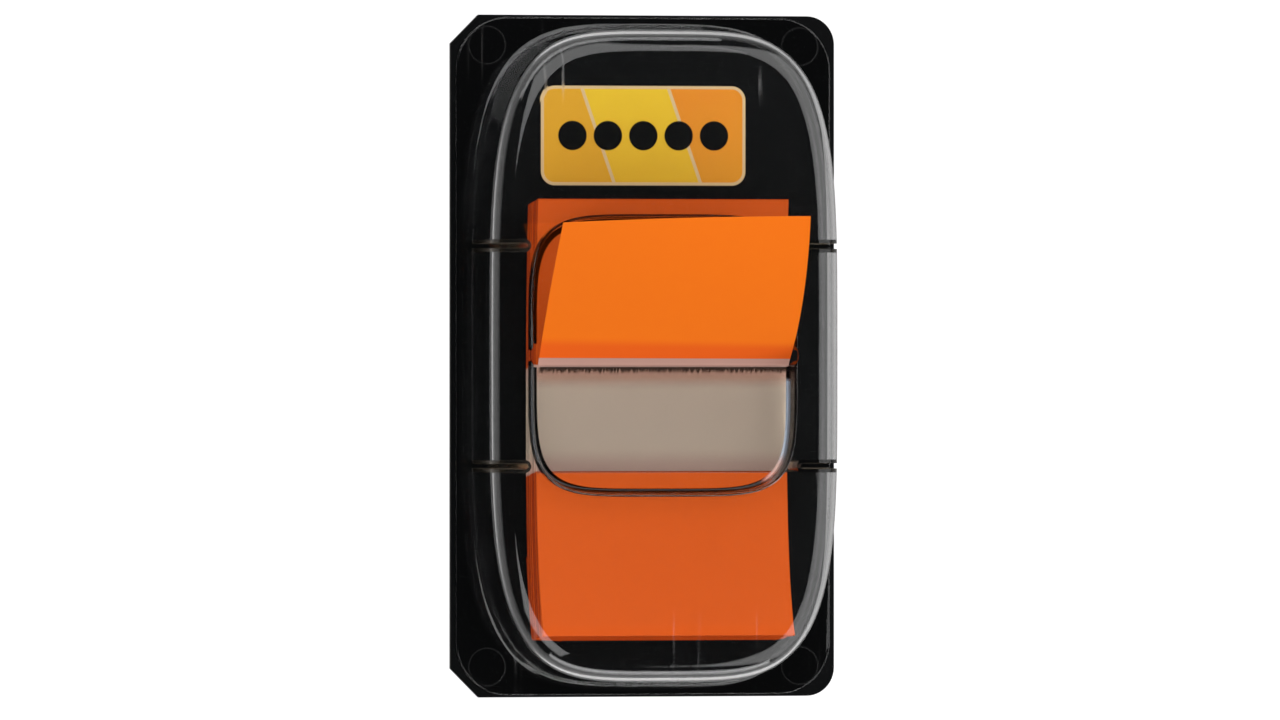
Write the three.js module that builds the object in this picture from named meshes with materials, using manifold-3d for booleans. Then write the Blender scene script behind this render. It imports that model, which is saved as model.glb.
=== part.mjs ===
// Pop-up dispenser of film index flags: a black backing card, a clear formed cover sealed on it,
// and inside it a pad of flags on a liner, with one flag popped up through the slot of the cover.
// Millimetres. It lies on its back: +Z out of the cover, +Y to the top end, +X to the right.
// The origin is the middle of the card's underside.

import * as THREE from "three";
import { mergeVertices } from "three/addons/utils/BufferGeometryUtils.js";
import Module from "manifold-3d";

const wasm = await Module();
wasm.setup();

// Flags of thin film, coloured at one end and clear with a band of glue at the other
const flagWidth = 25.4;
const flagLength = 43.2;
const flagColourLength = 16.3;
const filmThickness = 0.1;
const filmGap = 0.05;

// Pad of flags: it lies shifted to the right, its ends curl up and its front slides to the top end
const padThickness = 4.05;
const padSlabs = 10;
const padSlabOverlap = 0.1;
const padSideShift = 0.55;
const padShear = 0.55;
const padStagger = 0.07;
const padCurlShortening = 0.4;
const padLowerCurlHeight = 1.8;
const padLowerFanHeight = 0.8;
const padUpperCurlHeight = 0.9;
const padCurlPower = 2.4;
const nextFlagCurlHeight = 0.5;
const nextFlagCurlLength = 7;

// Liner board under the pad, a little smaller than the flags
const linerThickness = 0.9;
const linerInset = 0.8;

// Room that the cover leaves round the pad
const sideRoom = 5.2;
const shuttleRoom = 21.4;
const lowerEndRoom = 4.62;
const panelHeadroom = 1.05;

// Cover: one formed sheet of even wall, its dome a little to the right on the flange
const wall = 0.35;
const domeSideShift = 0.5;
const domePower = 4;
const domeDraft = 0.3;
const domeTopRadius = 2.5;
const domeFootRadius = 0.5;
const flangeSide = 1.15;
const flangeEnd = 1.05;
const flangeCornerRadius = 5.2;

// Square recessed panel in the top of the dome
const panelWidth = 26.4;
const panelLength = 27.1;
const panelPower = 5.2;
const panelCentreY = 0.05;
const panelDepth = 1.9;
const panelDraft = 0.1;
const panelFloorRadius = 0.4;
const panelRimRadius = 0.3;

// Slot through the panel for the flags
const slotWidth = 2.3;
const slotCornerRadius = 1;
const slotSideClearance = 0.4;

// Four guide ribs, pressed in from the long sides as narrow grooves
const ribCentreY = 10.8;
const ribGrooveWidth = 0.4;
const ribGrooveFlare = 0.2;
const ribClearance = 0.2;

// Round weld spots that hold the flange on the card
const weldRadius = 1.85;
const weldDepth = 0.1;
const weldSideInset = 3.15;
const weldEndInset = 2.8;

// Backing card: it stands a little past the flange
const cardThickness = 0.6;
const cardSideMargin = 0.45;
const cardEndMargin = 0.2;
const cardCutCorner = 2.85;
const cardRoundCorner = 2.8;

// Popped flag: how it leaves the slot and how its two edges bend, as angles over the card
const popSideShift = 0.45;
const popLipClearance = 0.1;
const popLipAngle = 30;
const popLeftStart = 31;
const popLeftEnd = 41;
const popRightStart = 52;
const popRightEnd = 9;
const popBendLength = 1.2;
const popBoundaryPastLip = 1;

// How finely curves are cut into facets
const domePoints = 112;
const panelPoints = 64;
const cornerSteps = 7;
const filletSteps = 6;
const smallFilletSteps = 3;
const profileSteps = 26;
const popColumns = 8;
const popRows = 24;

// Heights, from the card up
const linerTop = cardThickness + linerThickness;
const padFoot = linerTop + filmGap;
const filmPitch = filmThickness + filmGap;
const floorUnder = padFoot + padThickness + 2 * filmPitch + panelHeadroom;
const floorTop = floorUnder + wall;
const domeTop = floorTop + panelDepth;
const flangeTop = cardThickness + wall;

// Half sizes, from the pad out
const domeHalfWidth = flagWidth / 2 + sideRoom;
const domeHalfLength = (flagLength + shuttleRoom) / 2;
const flangeHalfWidth = domeHalfWidth + flangeSide;
const flangeHalfLength = domeHalfLength + flangeEnd;
const cardHalfWidth = flangeHalfWidth + cardSideMargin;
const cardHalfLength = flangeHalfLength + cardEndMargin;
const padHalfLength = (flagLength - padCurlShortening) / 2;
const padCentreY = -domeHalfLength + lowerEndRoom + padHalfLength;
const slotHalfLength = flagWidth / 2 + popSideShift + slotSideClearance;
const slotLowerY = panelCentreY - slotWidth / 2;
const ribTip = flagWidth / 2 + padSideShift + ribClearance;

// How far a cutting solid goes past the face that it opens
const past = 1;
const radians = Math.PI / 180;

// Meshes and solids

function toSolid(geometry) {
  geometry.deleteAttribute("normal");
  geometry.deleteAttribute("uv");
  const merged = mergeVertices(geometry);
  return new wasm.Manifold(new wasm.Mesh({
    numProp: 3,
    vertProperties: new Float32Array(merged.attributes.position.array),
    triVerts: new Uint32Array(merged.index.array),
  }));
}

function toGeometry(solid) {
  const mesh = solid.getMesh();
  const geometry = new THREE.BufferGeometry();
  geometry.setAttribute("position", new THREE.BufferAttribute(mesh.vertProperties, 3));
  geometry.setIndex(new THREE.BufferAttribute(mesh.triVerts, 1));
  geometry.computeVertexNormals();
  return geometry;
}

// A closed solid through rings of as many points each, counter-clockwise and from the lowest up
function loft(rings) {
  const count = rings[0].points.length;
  const positions = [];
  const indices = [];
  for (const ring of rings) {
    for (const point of ring.points) positions.push(point.x, point.y, ring.z);
  }
  for (let r = 0; r + 1 < rings.length; r++) {
    for (let i = 0; i < count; i++) {
      const a = r * count + i;
      const b = r * count + (i + 1) % count;
      indices.push(a, b, b + count, a, b + count, a + count);
    }
  }
  const lastRing = (rings.length - 1) * count;
  for (const [a, b, c] of THREE.ShapeUtils.triangulateShape(rings[0].points, [])) {
    indices.push(a, c, b);
  }
  for (const [a, b, c] of THREE.ShapeUtils.triangulateShape(rings[rings.length - 1].points, [])) {
    indices.push(lastRing + a, lastRing + b, lastRing + c);
  }
  const geometry = new THREE.BufferGeometry();
  geometry.setAttribute("position", new THREE.Float32BufferAttribute(positions, 3));
  geometry.setIndex(indices);
  return geometry;
}

function plate(points, low, high) {
  return loft([{ points, z: low }, { points, z: high }]);
}

// A profile in the plane of Y and Z, carried along X between two places
function across(profile, left, right) {
  const shape = new THREE.Shape(profile);
  const geometry = new THREE.ExtrudeGeometry(shape, { depth: right - left, bevelEnabled: false });
  const axes = new THREE.Matrix4().makeBasis(
    new THREE.Vector3(0, 1, 0),
    new THREE.Vector3(0, 0, 1),
    new THREE.Vector3(1, 0, 0),
  );
  geometry.applyMatrix4(axes);
  geometry.translate(left, 0, 0);
  return geometry;
}

// Outlines seen from above

function arc(points, centreX, centreY, radius, start, steps) {
  for (let k = 0; k <= steps; k++) {
    const angle = start + (k / steps) * Math.PI / 2;
    points.push(new THREE.Vector2(centreX + radius * Math.cos(angle), centreY + radius * Math.sin(angle)));
  }
}

function roundedRectangle(halfWidth, halfLength, radius) {
  const points = [];
  const x = halfWidth - radius;
  const y = halfLength - radius;
  arc(points, x, y, radius, 0, cornerSteps);
  arc(points, -x, y, radius, Math.PI / 2, cornerSteps);
  arc(points, -x, -y, radius, Math.PI, cornerSteps);
  arc(points, x, -y, radius, 1.5 * Math.PI, cornerSteps);
  return points;
}

const domeOutline = {
  halfWidth: domeHalfWidth,
  halfLength: domeHalfLength,
  power: domePower,
  centreX: domeSideShift,
  centreY: 0,
  count: domePoints,
};

const panelOutline = {
  halfWidth: panelWidth / 2,
  halfLength: panelLength / 2,
  power: panelPower,
  centreX: 0,
  centreY: panelCentreY,
  count: panelPoints,
};

// A superellipse, which bows out on all four sides, moved outwards along its normals by grow.
// Its points are shared out by length and by turn, so that the corners get enough of them.
function barrel(outline, grow) {
  const { halfWidth, halfLength, power, centreX, centreY, count } = outline;
  const fine = 3600;
  const turnWeight = 6;
  const sample = [];
  for (let k = 0; k <= fine; k++) {
    const angle = (k / fine) * 2 * Math.PI;
    const c = Math.abs(Math.cos(angle) / halfWidth);
    const s = Math.abs(Math.sin(angle) / halfLength);
    const reach = (c ** power + s ** power) ** (-1 / power);
    const x = reach * Math.cos(angle);
    const y = reach * Math.sin(angle);
    const slopeX = Math.sign(x) * Math.abs(x / halfWidth) ** (power - 1) / halfWidth;
    const slopeY = Math.sign(y) * Math.abs(y / halfLength) ** (power - 1) / halfLength;
    sample.push({
      place: new THREE.Vector2(centreX + x, centreY + y),
      normal: new THREE.Vector2(slopeX, slopeY).normalize(),
    });
  }
  const share = [0];
  for (let k = 1; k <= fine; k++) {
    const step = sample[k].place.distanceTo(sample[k - 1].place);
    const turn = sample[k].normal.distanceTo(sample[k - 1].normal);
    share.push(share[k - 1] + step + turnWeight * turn);
  }
  const points = [];
  let at = 0;
  for (let k = 0; k < count; k++) {
    while (share[at] < (k / count) * share[fine]) at++;
    points.push(sample[at].place.clone().addScaledVector(sample[at].normal, grow));
  }
  return points;
}

// Clear cover

// The dome's outside, or with inset set to the wall, its inside. It flares at its foot, leans in by
// the draft, and rounds over at its top edge. Inset moves every face by the same distance.
function domeSolid(inset, bottom) {
  const rings = [{ points: barrel(domeOutline, domeFootRadius), z: bottom }];
  const footCentre = flangeTop + domeFootRadius;
  const foot = domeFootRadius + inset;
  for (let k = 0; k <= smallFilletSteps; k++) {
    const angle = (k / smallFilletSteps) * Math.PI / 2;
    const grow = domeFootRadius - foot * Math.sin(angle);
    rings.push({ points: barrel(domeOutline, grow), z: footCentre - foot * Math.cos(angle) });
  }
  const topCentre = domeTop - domeTopRadius;
  const round = domeTopRadius - inset;
  for (let k = 0; k <= filletSteps; k++) {
    const angle = (k / filletSteps) * Math.PI / 2;
    const grow = -domeDraft - domeTopRadius + round * Math.cos(angle);
    rings.push({ points: barrel(domeOutline, grow), z: topCentre + round * Math.sin(angle) });
  }
  return toSolid(loft(rings));
}

// The recess of the panel, or with grow set to the wall, the recess and its wall
function panelSolid(grow) {
  const ring = (offset, z) => ({ points: barrel(panelOutline, offset), z });
  const rings = [];
  const corner = panelFloorRadius + grow;
  for (let k = 0; k <= smallFilletSteps; k++) {
    const angle = (k / smallFilletSteps) * Math.PI / 2;
    const offset = -panelDraft - panelFloorRadius + corner * Math.sin(angle);
    rings.push(ring(offset, floorTop + panelFloorRadius - corner * Math.cos(angle)));
  }
  if (grow > 0) {
    rings.push(ring(grow, domeTop + past));
  } else {
    for (let k = 0; k <= smallFilletSteps; k++) {
      const angle = (k / smallFilletSteps) * Math.PI / 2;
      const offset = panelRimRadius * (1 - Math.cos(angle));
      rings.push(ring(offset, domeTop - panelRimRadius * (1 - Math.sin(angle))));
    }
    rings.push(ring(panelRimRadius, domeTop + past));
  }
  return toSolid(loft(rings));
}

// One rib's groove from the outside in to its round end, or with grow set to the wall, the whole rib
function ribSolid(side, centreY, grow, bottom) {
  const ring = (halfWidth, z) => {
    const points = [];
    const endX = ribTip + wall - grow + halfWidth;
    const outX = domeHalfWidth + domeFootRadius + past;
    for (let k = 0; k <= 2 * smallFilletSteps; k++) {
      const angle = Math.PI / 2 + (k / (2 * smallFilletSteps)) * Math.PI;
      points.push(new THREE.Vector2(endX + halfWidth * Math.cos(angle), halfWidth * Math.sin(angle)));
    }
    points.push(new THREE.Vector2(outX, -halfWidth), new THREE.Vector2(outX, halfWidth));
    for (const point of points) {
      point.x *= side;
      point.y += centreY;
    }
    return { points: side > 0 ? points : points.reverse(), z };
  };
  const low = ribGrooveWidth / 2 + grow;
  const high = low + ribGrooveFlare / 2;
  return toSolid(loft([ring(low, bottom), ring(high, domeTop + past)]));
}

function slotSolid() {
  const points = roundedRectangle(slotHalfLength, slotWidth / 2, slotCornerRadius);
  for (const point of points) point.y += panelCentreY;
  return toSolid(plate(points, floorUnder - past, domeTop + past));
}

function weldSpots() {
  const spots = [];
  for (const side of [-1, 1]) {
    for (const end of [-1, 1]) {
      const geometry = new THREE.CylinderGeometry(weldRadius, weldRadius, weldDepth + past, 28);
      geometry.rotateX(Math.PI / 2);
      geometry.translate(
        side * (flangeHalfWidth - weldSideInset),
        end * (flangeHalfLength - weldEndInset),
        flangeTop - weldDepth + (weldDepth + past) / 2,
      );
      spots.push(toSolid(geometry));
    }
  }
  return spots;
}

function clearCover() {
  const flange = roundedRectangle(flangeHalfWidth, flangeHalfLength, flangeCornerRadius);
  let outside = domeSolid(0, cardThickness).add(toSolid(plate(flange, cardThickness, flangeTop)));
  let inside = domeSolid(wall, cardThickness - past).subtract(panelSolid(wall));
  outside = outside.subtract(panelSolid(0));
  for (const side of [-1, 1]) {
    for (const end of [-1, 1]) {
      outside = outside.subtract(ribSolid(side, end * ribCentreY, 0, flangeTop));
      inside = inside.subtract(ribSolid(side, end * ribCentreY, wall, cardThickness - 2 * past));
    }
  }
  let cover = outside.subtract(inside).subtract(slotSolid());
  for (const spot of weldSpots()) cover = cover.subtract(spot);
  return toGeometry(cover);
}

// Pad, its liner and the flags

// How far the pad's layers rise at a place along its length, at the rear (0) to the front (1)
function curl(y, depth) {
  const along = (y - padCentreY) / padHalfLength;
  const rise = along < 0 ? padLowerCurlHeight + padLowerFanHeight * depth : padUpperCurlHeight;
  return rise * Math.abs(along) ** padCurlPower;
}

// Underside of the front flag, which curls up more at its lower end
function nextFlagUnder(y) {
  const fromEnd = (padCentreY - padHalfLength + nextFlagCurlLength - y) / nextFlagCurlLength;
  return padFoot + padThickness + filmGap + curl(y, 1) + nextFlagCurlHeight * Math.max(0, fromEnd) ** 2;
}

// The closed profile between two heights that are functions of y
function between(under, over, low, high) {
  const lower = [];
  const upper = [];
  for (let k = 0; k <= profileSteps; k++) {
    const y = low + (k / profileSteps) * (high - low);
    lower.push(new THREE.Vector2(y, under(y)));
    upper.push(new THREE.Vector2(y, over(y)));
  }
  return [...lower, ...upper.reverse()];
}

function flagPad() {
  let pad = null;
  for (let k = 0; k < padSlabs; k++) {
    const rear = k / padSlabs;
    const front = (k + 1) / padSlabs;
    const stagger = padStagger * Math.sin(2.6 * k);
    const slide = padShear * ((rear + front) / 2 - 0.5) + stagger;
    const overlap = k > 0 ? padSlabOverlap : 0;
    const under = (y) => padFoot + padThickness * rear - overlap + curl(y, rear);
    const over = (y) => padFoot + padThickness * front + curl(y, front);
    const low = padCentreY - padHalfLength + slide;
    const profile = between(under, over, low, low + 2 * padHalfLength);
    const left = padSideShift - flagWidth / 2 + stagger / 2;
    const slab = toSolid(across(profile, left, left + flagWidth));
    pad = pad ? pad.add(slab) : slab;
  }
  return toGeometry(pad);
}

function padLiner() {
  const halfWidth = flagWidth / 2 - linerInset;
  const halfLength = padHalfLength - linerInset;
  const points = roundedRectangle(halfWidth, halfLength, linerInset);
  for (const point of points) {
    point.x += padSideShift;
    point.y += padCentreY;
  }
  return plate(points, cardThickness, linerTop);
}

function nextFlag() {
  const low = padCentreY - padHalfLength + padShear / 2;
  const over = (y) => nextFlagUnder(y) + filmThickness;
  const profile = between(nextFlagUnder, over, low, low + 2 * padHalfLength);
  const left = padSideShift - flagWidth / 2;
  return across(profile, left, left + flagWidth);
}

// The popped flag's middle surface. Its hidden part rests on the front flag and leaves it by a parabola
// that reaches the slot's lower lip at the lip angle. Past the lip each column bends on at angles that
// go from the left edge's to the right edge's.
function poppedFlagRows() {
  const lipTurn = popLipAngle * radians;
  const offset = filmThickness / 2 + popLipClearance;
  const lip = { y: slotLowerY + offset * Math.sin(lipTurn), z: floorUnder - offset * Math.cos(lipTurn) };
  const rest = (y) => nextFlagUnder(y) + filmPitch + filmThickness / 2;
  const climb = lip.z - rest(lip.y);
  const climbLength = 2 * climb / Math.tan(lipTurn);
  const height = (y) => rest(y) + climb * Math.max(0, (y - lip.y + climbLength) / climbLength) ** 2;
  const emerged = flagColourLength + popBoundaryPastLip;
  const hidden = flagLength - emerged;
  const fine = 0.02;
  const path = [{ y: lip.y, z: lip.z }];
  let length = 0;
  while (length < hidden) {
    const before = path[path.length - 1];
    const y = before.y - fine;
    const z = height(y);
    length += Math.hypot(fine, before.z - z);
    path.push({ y, z });
  }
  const rows = [];
  for (let k = 0; k <= popRows; k++) {
    const at = Math.round((1 - k / popRows) * (path.length - 1));
    const near = Math.max(1, at);
    const angle = Math.atan2(path[near - 1].z - path[near].z, path[near - 1].y - path[near].y);
    rows.push(new Array(popColumns + 1).fill({ y: path[at].y, z: path[at].z, angle }));
  }
  const columns = [];
  for (let i = 0; i <= popColumns; i++) {
    const share = i / popColumns;
    const start = (popLeftStart + (popRightStart - popLeftStart) * share) * radians;
    const end = (popLeftEnd + (popRightEnd - popLeftEnd) * share) * radians;
    const column = [];
    let { y, z } = lip;
    const steps = Math.ceil(emerged / fine);
    for (let k = 1; k <= steps; k++) {
      const s = (k - 0.5) * emerged / steps;
      const turned = Math.min(1, s / popBendLength);
      const angle = lipTurn * (1 - turned) + (start + (end - start) * s / emerged) * turned;
      y += Math.cos(angle) * emerged / steps;
      z += Math.sin(angle) * emerged / steps;
      column.push({ y, z, angle });
    }
    columns.push(column);
  }
  for (let k = 1; k <= popRows; k++) {
    rows.push(columns.map((column) => column[Math.round(k / popRows * column.length) - 1]));
  }
  return rows;
}

function poppedFlag() {
  const rows = poppedFlagRows();
  const count = popColumns + 1;
  const positions = [];
  for (const side of [1, -1]) {
    for (const row of rows) {
      row.forEach((place, i) => {
        const x = popSideShift + flagWidth * (i / popColumns - 0.5);
        const half = side * filmThickness / 2;
        positions.push(x, place.y - half * Math.sin(place.angle), place.z + half * Math.cos(place.angle));
      });
    }
  }
  const indices = [];
  const face = (a, b, c, d) => indices.push(a, b, c, a, c, d);
  const under = rows.length * count;
  for (let r = 0; r + 1 < rows.length; r++) {
    for (let i = 0; i + 1 < count; i++) {
      const a = r * count + i;
      face(a, a + 1, a + 1 + count, a + count);
      face(under + a, under + a + count, under + a + 1 + count, under + a + 1);
    }
    const left = r * count;
    const right = left + count - 1;
    face(left, left + count, under + left + count, under + left);
    face(right, under + right, under + right + count, right + count);
  }
  const last = (rows.length - 1) * count;
  for (let i = 0; i + 1 < count; i++) {
    face(i, under + i, under + i + 1, i + 1);
    face(last + i, last + i + 1, under + last + i + 1, under + last + i);
  }
  const geometry = new THREE.BufferGeometry();
  geometry.setAttribute("position", new THREE.Float32BufferAttribute(positions, 3));
  geometry.setIndex(indices);
  return geometry;
}

// Backing card: two cut corners on the left, two round ones on the right

function backingCard() {
  const shape = new THREE.Shape();
  const x = cardHalfWidth;
  const y = cardHalfLength;
  shape.moveTo(-x + cardCutCorner, -y);
  shape.lineTo(x - cardRoundCorner, -y);
  shape.absarc(x - cardRoundCorner, -y + cardRoundCorner, cardRoundCorner, -Math.PI / 2, 0);
  shape.absarc(x - cardRoundCorner, y - cardRoundCorner, cardRoundCorner, 0, Math.PI / 2);
  shape.lineTo(-x + cardCutCorner, y);
  shape.lineTo(-x, y - cardCutCorner);
  shape.lineTo(-x, -y + cardCutCorner);
  shape.closePath();
  return new THREE.ExtrudeGeometry(shape, { depth: cardThickness, bevelEnabled: false, curveSegments: 10 });
}

// The pieces with their finishes

function piece(name, geometry, color, roughness, transparent = false) {
  const material = new THREE.MeshStandardMaterial({ color, roughness, metalness: 0, transparent });
  if (transparent) material.opacity = 0.3;
  const mesh = new THREE.Mesh(geometry, material);
  mesh.name = name;
  return mesh;
}

const dispenser = new THREE.Group();
dispenser.add(
  piece("backing_card", backingCard(), 0x0b0c0d, 0.55),
  piece("clear_cover", clearCover(), 0xdfe6e8, 0.08, true),
  piece("pad_liner", padLiner(), 0xd8d2c4, 0.8),
  piece("flag_pad", flagPad(), 0xd2602a, 0.5),
  piece("next_flag", nextFlag(), 0xd45f26, 0.45),
  piece("popped_flag", poppedFlag(), 0xf7781e, 0.4),
);

export default dispenser;
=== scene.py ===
"""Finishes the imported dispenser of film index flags: card, clear cover, pad, loose flags, floor and lamps.

Metres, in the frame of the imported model: +Z out of the cover, +Y to the card's top end, +X to the right.
Every surface is a numpy parametric surface, made as whole arrays, and every finish is procedural.
"""

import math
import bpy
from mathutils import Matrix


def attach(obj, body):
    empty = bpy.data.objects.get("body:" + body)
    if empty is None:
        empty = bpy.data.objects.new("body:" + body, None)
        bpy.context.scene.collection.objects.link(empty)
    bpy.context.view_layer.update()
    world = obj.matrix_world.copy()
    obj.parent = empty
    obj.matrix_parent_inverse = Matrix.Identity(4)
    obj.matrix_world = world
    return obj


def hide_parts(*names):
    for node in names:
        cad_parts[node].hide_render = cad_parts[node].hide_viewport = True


bl_info = {
    "name": "Index flag dispenser",
    "version": (1, 0, 0),
    "blender": (4, 5, 0),
    "location": "View3D > Sidebar > Index flags",
    "description": "Finishes the pieces of a pop-up dispenser of film index flags",
    "category": "Object",
}

import bpy
import numpy as np
from bpy.props import FloatProperty, FloatVectorProperty, IntProperty, PointerProperty
from mathutils import Matrix, Vector

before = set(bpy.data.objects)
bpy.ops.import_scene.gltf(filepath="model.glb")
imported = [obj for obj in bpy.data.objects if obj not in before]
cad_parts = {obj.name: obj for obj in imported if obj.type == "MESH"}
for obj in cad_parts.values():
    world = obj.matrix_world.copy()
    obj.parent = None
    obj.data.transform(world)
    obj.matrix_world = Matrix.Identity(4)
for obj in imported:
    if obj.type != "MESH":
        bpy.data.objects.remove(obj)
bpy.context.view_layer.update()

MM = 0.001
BODY = "root"
TURN_LENGTH = 6 * MM  # a bend of one radian gets as many points as this length


# Settings


def length(name, millimetres, description):
    """A length setting, written in millimetres and kept in metres."""
    default = millimetres * MM
    return FloatProperty(name=name, description=description, default=default, unit="LENGTH", precision=5)


def angle(name, degrees, description):
    """An angle setting, written in degrees and kept in radians."""
    return FloatProperty(name=name, description=description, default=math.radians(degrees), subtype="ANGLE")


def share(name, value, description):
    """A setting between 0 and 1, or a plain factor."""
    return FloatProperty(name=name, description=description, default=value, subtype="FACTOR", soft_max=1.0)


def power(name, value, description):
    """The power of a curve."""
    return FloatProperty(name=name, description=description, default=value, min=1)


def count(name, value, description):
    """A whole number of parts or steps."""
    return IntProperty(name=name, description=description, default=value, min=1)


def colour(name, red, green, blue, description):
    """A colour setting, written as 0 to 255 in a picture and kept as the linear values that shaders take."""
    part = np.array([red, green, blue]) / 255
    linear = np.where(part <= 0.04045, part / 12.92, ((part + 0.055) / 1.055) ** 2.4)
    default = tuple(float(value) for value in linear)
    return FloatVectorProperty(name=name, description=description, default=default, size=3, subtype="COLOR")


class FlagSizes(bpy.types.PropertyGroup):
    """Sizes of the film flags, loose and in the pad."""

    width: length("Flag width", 25.4, "Width of every flag")
    length: length("Flag length", 43.2, "Length of every flag")
    colour_length: length("Coloured end", 16.3, "Length of the coloured end of a flag")
    film: length("Film", 0.1, "Thickness of the film")
    gap: length("Film gap", 0.05, "Air between two loose films")
    pad_thickness: length("Pad thickness", 4.05, "Thickness of the whole pad")
    sheets: count("Sheets", 48, "Films in the pad")
    pad_shift: length("Pad shift", 0.55, "How far the pad lies to the right of the middle")
    pad_centre: length("Pad centre", -6.28, "Where the middle of the pad's length lies")
    curl_shortening: length("Curl shortening", 0.4, "How much shorter the curled pad is, seen from above")
    foot: length("Pad foot", 1.55, "Height of the pad's underside over the table")
    shear: length("Pad shear", 0.55, "How far the front film is slid to the top end past the rear one")
    stagger: length("Stagger", 0.07, "How far groups of films stand out of line")
    jitter: length("Jitter", 0.02, "How far single films stand out of line")
    lower_curl: length("Lower curl", 1.8, "Rise of the rear film's lower end")
    lower_fan: length("Lower fan", 0.8, "How much more than that the front film's lower end rises")
    upper_curl: length("Upper curl", 0.9, "Rise of the upper end")
    curl_power: power("Curl power", 2.4, "How late the curl sets in")
    next_curl: length("Front flag curl", 0.5, "How much more the front flag's lower end curls up")
    next_curl_length: length("Front flag curl length", 7, "Length over which the front flag curls up")


class PopSizes(bpy.types.PropertyGroup):
    """How the popped flag leaves the slot and bends."""

    shift: length("Shift", 0.45, "How far the popped flag lies to the right of the middle")
    lip_clearance: length("Lip clearance", 0.1, "Air between the flag and the lip of the slot")
    lip_angle: angle("Lip angle", 30, "Slope of the flag where it passes the lip")
    left_start: angle("Left start", 31, "Slope of the left edge just past the lip")
    left_end: angle("Left end", 41, "Slope of the left edge at the tip")
    right_start: angle("Right start", 52, "Slope of the right edge just past the lip")
    right_end: angle("Right end", 9, "Slope of the right edge at the tip")
    bend_length: length("Bend length", 1.2, "Length past the lip over which the flag takes up its slope")
    past_lip: length("Colour past lip", 1.0, "Length of clear film between the lip and the coloured end")
    columns: count("Columns", 40, "Strips across the flag")
    rows: count("Rows", 160, "Strips along the flag")


class CoverSizes(bpy.types.PropertyGroup):
    """Sizes of the clear formed cover."""

    card_top: length("Card top", 0.6, "Height of the card's front, which the flange lies on")
    wall: length("Wall", 0.35, "Thickness of the sheet")
    dome_half_width: length("Dome half width", 17.9, "Half the width of the dome at its foot")
    dome_half_length: length("Dome half length", 32.3, "Half the length of the dome at its foot")
    dome_shift: length("Dome shift", 0.5, "How far the dome stands to the right on its flange")
    dome_power: power("Dome power", 4, "Power of the dome's superellipse")
    dome_draft: length("Dome draft", 0.3, "How far the side of the dome leans in")
    dome_radius: length("Dome edge radius", 2.5, "Radius of the dome's top edge")
    foot_radius: length("Foot radius", 0.5, "Radius where the dome meets the flange")
    dome_top: length("Dome top", 9.2, "Height of the dome's top")
    flange_half_width: length("Flange half width", 19.05, "Half the width of the flange")
    flange_half_length: length("Flange half length", 33.35, "Half the length of the flange")
    flange_radius: length("Flange corner radius", 5.2, "Radius of the flange's corners")
    flange_edge: length("Flange edge radius", 0.2, "Radius of the flange's cut edge")
    panel_half_width: length("Panel half width", 13.2, "Half the width of the recessed panel")
    panel_half_length: length("Panel half length", 13.55, "Half the length of the recessed panel")
    panel_power: power("Panel power", 5.2, "Power of the panel's superellipse")
    panel_centre: length("Panel centre", 0.05, "Where the middle of the panel and the slot lies")
    panel_floor: length("Panel floor", 7.3, "Height of the panel's floor")
    panel_draft: length("Panel draft", 0.1, "How far the sides of the recess lean in")
    floor_radius: length("Panel floor radius", 0.4, "Radius at the foot of the recess")
    rim_radius: length("Panel rim radius", 0.3, "Radius at the rim of the recess")
    slot_half_length: length("Slot half length", 13.55, "Half the length of the slot")
    slot_width: length("Slot width", 2.3, "Width of the slot")
    slot_radius: length("Slot corner radius", 1, "Radius of the slot's corners")
    rib_centre: length("Rib centre", 10.8, "How far the guide ribs stand from the middle")
    rib_groove: length("Rib groove", 0.4, "Width of a rib's groove at its foot")
    rib_flare: length("Rib flare", 0.2, "How much wider the groove is at the top")
    rib_tip: length("Rib tip", 13.45, "Where the tips of the ribs stand")
    weld_radius: length("Weld radius", 1.85, "Radius of the round weld spots")
    weld_depth: length("Weld depth", 0.1, "Depth of the weld spots")
    weld_side: length("Weld side inset", 3.15, "From the flange's side to a weld spot")
    weld_end: length("Weld end inset", 2.8, "From the flange's end to a weld spot")
    dome_points: count("Dome points", 480, "Points round the dome")
    panel_points: count("Panel points", 320, "Points round the panel")
    arc_steps: count("Arc steps", 12, "Steps in a quarter of a small radius")


class CardSizes(bpy.types.PropertyGroup):
    """Sizes of the backing card and of its printed emblem."""

    thickness: length("Thickness", 0.6, "Thickness of the card")
    half_width: length("Half width", 19.5, "Half the width of the card")
    half_length: length("Half length", 33.55, "Half the length of the card")
    cut_corner: length("Cut corner", 2.85, "Length of the cut at the two left corners")
    round_corner: length("Round corner", 2.8, "Radius of the two right corners")
    edge: length("Edge", 0.06, "Radius of the card's cut edges")
    print_y: length("Print centre", 21.7, "Where the middle of the emblem lies")
    print_half_width: length("Print half width", 10.4, "Half the width of the emblem")
    print_half_height: length("Print half height", 4.9, "Half the height of the emblem")
    print_radius: length("Print radius", 1.4, "Radius of the emblem's corners")
    print_border: length("Print border", 0.3, "Width of the emblem's pale border")
    seam_slant: share("Seam slant", 0.35, "How far the seams of the emblem lean, as a share of their height")
    seam_half_width: length("Seam half width", 0.17, "Half the width of the seams of the emblem")
    amber_seam: length("Amber seam", 4.2, "How far right of the middle the amber field starts")
    mustard_seam: length("Mustard seam", 4.6, "How far left of the middle the mustard field starts")
    dots: count("Dots", 5, "Dots in the row of the emblem")
    dot_pitch: length("Dot pitch", 3.6, "From one dot of the emblem to the next")
    dot_radius: length("Dot radius", 1.45, "Radius of the dots of the emblem")


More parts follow.
